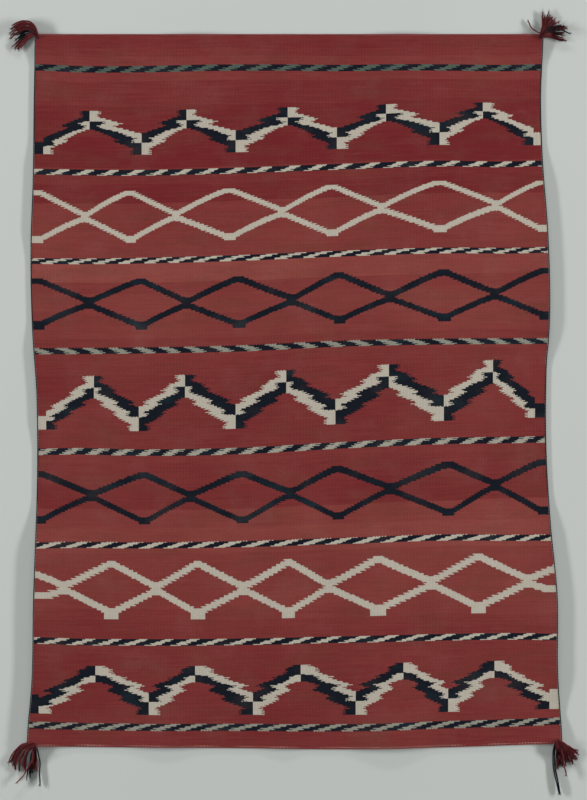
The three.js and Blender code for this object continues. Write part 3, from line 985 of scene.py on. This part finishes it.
def warp_loops(name, settings, down, material, flatness):
    """Small domes where the warp turns at an end of the cloth, with rings of points at (a cos p cos q,
    b sin p cos q, c sin q) for the half axes a, b and c, where c is scaled by the flatness."""
    cloth = settings.cloth
    half_x, half_y, half_z = 0.0012, 0.0017, 0.0009 * flatness
    sunk, below = 0.0002, 0.0004
    sides, hem = 8, 1.29
    count = int(hem / (2 * cloth.warp))
    centres = cloth_point(cloth, (np.arange(count) + 0.5) / count, down, cloth.thickness - sunk)
    p = 2 * np.pi * np.arange(sides) / sides
    q = np.array([0.0, 0.5, 1.05])[:, None]
    rings = np.stack([
        np.cos(q) * np.cos(p) * half_x,
        np.cos(q) * np.sin(p) * half_y,
        np.broadcast_to(np.sin(q) * half_z, (3, sides)),
    ], axis=-1).reshape(-1, 3)
    dome = np.concatenate([rings, [[0, 0, half_z], [0, 0, -below]]])
    vertices = (centres[:, None] + dome).reshape(-1, 3)
    j = np.arange(sides)
    k = (j + 1) % sides
    walls = [np.stack([j + r, k + r, k + r + sides, j + r + sides], axis=-1) for r in (0, sides)]
    top, bottom = np.full(sides, 3 * sides), np.full(sides, 3 * sides + 1)
    upper = np.stack([j + 2 * sides, k + 2 * sides, top], axis=-1)
    caps = np.concatenate([upper, np.stack([k, j, bottom], axis=-1)])
    start = (np.arange(count) * len(dome))[:, None, None]
    faces = [(start + np.concatenate(walls)).reshape(-1, 4), (start + caps).reshape(-1, 3)]
    uvs = [vertices[block, :2].reshape(-1) for block in faces]
    tints = np.repeat(np.random.default_rng(5).random(count), len(dome)) * 0.8
    piece = new_piece(name, vertices, faces, uvs, [material], tints=tints)
    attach(piece, "root")


def strand_paths(settings, corner, eye_shift, lock, seed):
    """The centrelines of a lock's strands, (strands, steps, 3). Each starts inside the cloth's corner,
    passes over its edge and follows root * (1 - t)^2 + bend * 2t(1 - t) + end * t^2 out to its end, sinking
    as it goes to the layer that it lies in, with a slow crimp to either side. Where a lock has several
    strands, each has its own cut length."""
    cloth, yarn = settings.cloth, settings.yarn
    root_x, root_y, aim, reach, fan, bow, count, layer = lock[:8]
    several = count > 1
    each, each_point = (count, 1), (count, 1, 1)
    chance = np.random.default_rng(seed)
    share = (np.arange(count) / max(count - 1, 1) - 0.5 * several)[:, None]
    angle = np.radians(aim + share * fan + chance.uniform(-3, 3, each) * several)
    ahead = np.concatenate([np.cos(angle), np.sin(angle)], axis=1)
    left = np.stack([-ahead[:, 1], ahead[:, 0]], axis=-1)
    beside = 0.0014  # from one strand's root to the next
    home = cloth_point(cloth, corner[0], corner[1] * cloth.length)[:2]
    inward = np.array([1 - 2 * corner[0], 2 * corner[1] - 1]) * EYE_INSET
    root = home + np.array([root_x, root_y]) + left * share * (count - 1) * beside
    bend = root + ahead * reach * 0.3 + left * reach * (bow + chance.uniform(-0.04, 0.04, each))
    end = root + ahead * reach
    cut = 1 - chance.uniform(0, 0.24, each_point) * several
    t = np.linspace(0, 1, STRAND_STEPS - LEAD_STEPS)[None, :, None] * cut
    free = root[:, None] * (1 - t) ** 2 + bend[:, None] * 2 * t * (1 - t) + end[:, None] * t**2
    eye = home + inward + left * share * 0.004 + np.array([eye_shift, 0.0])
    led = np.linspace(0, 1, LEAD_STEPS + 1)[None, :-1, None]
    flat = np.concatenate([eye[:, None] + (root - eye)[:, None] * led, free], axis=1)
    low = yarn.strand * (1 + 2.2 * layer) + chance.uniform(0, 0.0022, each_point) * smoothstep(t, 0.3, 1.0)
    top = cloth.thickness + CORNER_LIFT + yarn.strand
    knot = top + chance.uniform(-0.5, 1.1, each_point) * yarn.strand
    first = top - 0.6 * yarn.strand
    sinking = knot + (low - knot) * smoothstep(t, 0.04, 0.5)
    height = np.concatenate([first + (knot - first) * led, sinking], axis=1)
    paths = np.concatenate([flat, height], axis=-1)
    for _ in range(10):
        paths[:, 1:-1] = (paths[:, :-2] + 2 * paths[:, 1:-1] + paths[:, 2:]) / 4
    along = np.linspace(0, 1, STRAND_STEPS)
    crimp = np.sin(along * chance.uniform(9, 17, each) + chance.uniform(0, 6, each))
    crimp *= smoothstep(along, 0.25, 0.7) * chance.uniform(0.0004, 0.0013, each)
    paths[..., :2] += crimp[..., None] * left[:, None]
    return paths


def frayed_ends(paths, yarn, chance):
    """Loose fibres at the strands' ends, each a thin cone that leaves the tip at its own angle, as paths
    and radii."""
    count = len(paths)
    tip = paths[:, -1]
    ahead = tip - paths[:, -3]
    ahead /= np.linalg.norm(ahead, axis=-1, keepdims=True)
    stray = chance.normal(0, 1, (count, FIBRES, 3)) * np.array([0.42, 0.42, 0.22])
    aim = ahead[:, None] + stray
    aim[..., 2] = np.maximum(aim[..., 2], -0.02)
    reach = yarn.fray * chance.uniform(0.45, 1.0, (count, FIBRES, 1))
    taper = yarn.strand * np.array([0.3, 0.24, 0.16, 0.05])
    t = np.linspace(0, 1, len(taper))[None, None, :, None]
    start = tip[:, None] - ahead[:, None] * 0.0015 + stray * yarn.strand * 0.7
    hairs = (start[:, :, None] + (aim * reach)[:, :, None] * t).reshape(count * FIBRES, len(taper), 3)
    hairs[..., 2] = np.maximum(hairs[..., 2], 0.0009)
    return hairs, np.broadcast_to(taper, (count * FIBRES, len(taper)))


def tassel_piece(name, settings, materials, seed):
    """All of a tassel's strands as one mesh. A strand's section has three lobes that wind along it, so
    its radius is r * (1 + 0.13 * cos 3 (a - 2 pi along / turn)), and it ends in a fray of loose fibres."""
    yarn = settings.yarn
    corner, eye_shift, locks = TASSELS[name]
    paths = [strand_paths(settings, corner, eye_shift, lock, seed * 10 + n) for n, lock in enumerate(locks)]
    navy = np.repeat([lock[8] == "navy" for lock in locks], [len(group) for group in paths])
    paths = np.concatenate(paths)
    count, steps = paths.shape[:2]
    chance = np.random.default_rng(seed)
    share = np.linspace(0, 1, steps)[None, :]
    radii = yarn.strand * chance.uniform(0.82, 1.06, (count, 1)) * (1 - 0.25 * smoothstep(share, 0.93, 1.0))
    around = 2 * np.pi * np.arange(STRAND_SIDES) / STRAND_SIDES
    lobes = 1 + 0.13 * np.cos(3 * (around - 2 * np.pi * lengths_along(paths)[..., None] / yarn.ply))
    vertices, faces, uvs = tubes(paths, radii, STRAND_SIDES, lobes)
    tints = np.repeat(chance.uniform(0, 1, count), len(vertices) // count)
    hair_vertices, hair_faces, hair_uvs = tubes(*frayed_ends(paths, yarn, chance), 4)
    hairs = count * FIBRES
    hair_tints = np.repeat(chance.uniform(0, 1, hairs), len(hair_vertices) // hairs)
    face_navy = [np.repeat(navy, len(block) // count) for block in faces + hair_faces]
    piece = new_piece(
        name.replace("tassel", "yarn_tassel"),
        np.concatenate([vertices, hair_vertices]),
        faces + [block + len(vertices) for block in hair_faces],
        uvs + hair_uvs,
        [materials["plied_red"], materials["plied_navy"]],
        np.concatenate(face_navy),
        np.concatenate([tints, hair_tints]),
    )
    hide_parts(name)
    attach(piece, "root")


# Operators


class SerapeWeaveBlanket(bpy.types.Operator):
    """Weaves the blanket with its pattern"""

    bl_idname = "serape.weave_blanket"
    bl_label = "Weave the blanket"

    def execute(self, context):
        blanket_piece(context.scene.serape)
        return {"FINISHED"}


class SerapeTwineEdges(bpy.types.Operator):
    """Twines the cords along the four edges, and turns the warp at both ends"""

    bl_idname = "serape.twine_edges"
    bl_label = "Twine the edges"

    def execute(self, context):
        settings = context.scene.serape
        yarn, length = settings.yarn, settings.cloth.length
        yarns = yarn_materials(settings.colours)
        for number, (node, across) in enumerate({"side_cord_left": 0.0, "side_cord_right": 1.0}.items()):
            path = edge_path(settings, across, None, 1480)
            twined_cord(node, path, yarns["plied_navy"], yarn, number)
        for number, (node, down) in enumerate({"end_cord_top": 0.0, "end_cord_bottom": length}.items()):
            path = edge_path(settings, None, down, 1060)
            twined_cord(node, path, yarns["twined_red"], yarn, number + 5)
        inset = 0.0014
        warp_loops("warp_loops_top", settings, inset, yarns["twined_red"], 0.5)
        warp_loops("warp_loops_bottom", settings, length - inset, yarns["plied_white"], 0.38)
        return {"FINISHED"}


class SerapeTieTassels(bpy.types.Operator):
    """Ties a tassel of plied yarn to each corner"""

    bl_idname = "serape.tie_tassels"
    bl_label = "Tie the tassels"

    def execute(self, context):
        settings = context.scene.serape
        yarns = yarn_materials(settings.colours)
        for number, name in enumerate(TASSELS):
            tassel_piece(name, settings, yarns, number + 1)
        return {"FINISHED"}


def area_light(name, place, turn, size, power):
    """A rectangular soft light of that power, placed and turned by degrees."""
    light = bpy.data.lights.new(name, "AREA")
    light.shape = "RECTANGLE"
    light.size, light.size_y = size
    light.energy = power
    lamp = bpy.data.objects.new(name, light)
    lamp.location = place
    lamp.rotation_euler = np.radians(turn)
    bpy.context.scene.collection.objects.link(lamp)


class SerapeSetStage(bpy.types.Operator):
    """Lays the floor, and sets the lights and the camera above it"""

    bl_idname = "serape.set_stage"
    bl_label = "Set the stage"

    def execute(self, context):
        scene = context.scene
        studio = scene.serape.studio
        half = studio.floor_half
        corners = np.array([(-half, -half, 0), (half, -half, 0), (half, half, 0), (-half, half, 0)])
        face = np.array([[0, 1, 2, 3]])
        paper = floor_material(scene.serape.colours.floor)
        floor = new_piece("floor", corners, [face], [corners[face][..., :2]], [paper])
        for side, x in (("left", -8.0), ("right", 8.0)):
            turn = (0, np.sign(x) * 79, 0)
            area_light(f"{side}_light", (x, 0.3, 1.6), turn, (0.5, 5.0), studio.side_power)
        area_light("top_light", (0, 8.0, 1.4), (-80, 0, 0), (4.0, 0.4), studio.top_power)
        world = bpy.data.worlds.new("room")
        world.use_nodes = True
        background = world.node_tree.nodes["Background"]
        background.inputs["Color"].default_value = (0.93, 0.97, 0.96, 1)
        background.inputs["Strength"].default_value = studio.room
        scene.world = world
        scene.view_settings.view_transform = "Standard"
        lens = bpy.data.cameras.new("camera")
        lens.sensor_fit = "VERTICAL"
        lens.sensor_height = 36
        lens.lens = lens.sensor_height * studio.camera_height / studio.frame_height
        lens.clip_end = 30
        camera = bpy.data.objects.new("camera", lens)
        camera.location = (studio.centre_x, studio.centre_y, studio.camera_height)
        scene.collection.objects.link(camera)
        scene.camera = camera
        return {"FINISHED"}


class SerapePanel(bpy.types.Panel):
    """Lists the steps and the sizes and colours of the serape"""

    bl_idname = "VIEW3D_PT_serape"
    bl_label = "Serape"
    bl_space_type = "VIEW_3D"
    bl_region_type = "UI"
    bl_category = "Serape"

    def draw(self, context):
        settings = context.scene.serape
        for step in STEPS:
            self.layout.operator(step.bl_idname)
        for group in (settings.cloth, settings.yarn, settings.colours, settings.studio):
            box = self.layout.box()
            for name in group.__annotations__:
                box.prop(group, name)


STEPS = (SerapeWeaveBlanket, SerapeTwineEdges, SerapeTieTassels, SerapeSetStage)
CLASSES = (SerapeCloth, SerapeYarn, SerapeColours, SerapeStudio, SerapeSettings, *STEPS, SerapePanel)


def register():
    for each in CLASSES:
        bpy.utils.register_class(each)
    bpy.types.Scene.serape = bpy.props.PointerProperty(
        type=SerapeSettings, name="Serape", description="Sizes and colours of the serape"
    )


def unregister():
    del bpy.types.Scene.serape
    for each in reversed(CLASSES):
        bpy.utils.unregister_class(each)


def main():
    """Makes the whole scene."""
    register()
    bpy.ops.serape.weave_blanket()
    bpy.ops.serape.twine_edges()
    bpy.ops.serape.tie_tassels()
    bpy.ops.serape.set_stage()


if __name__ == "__main__":
    main()
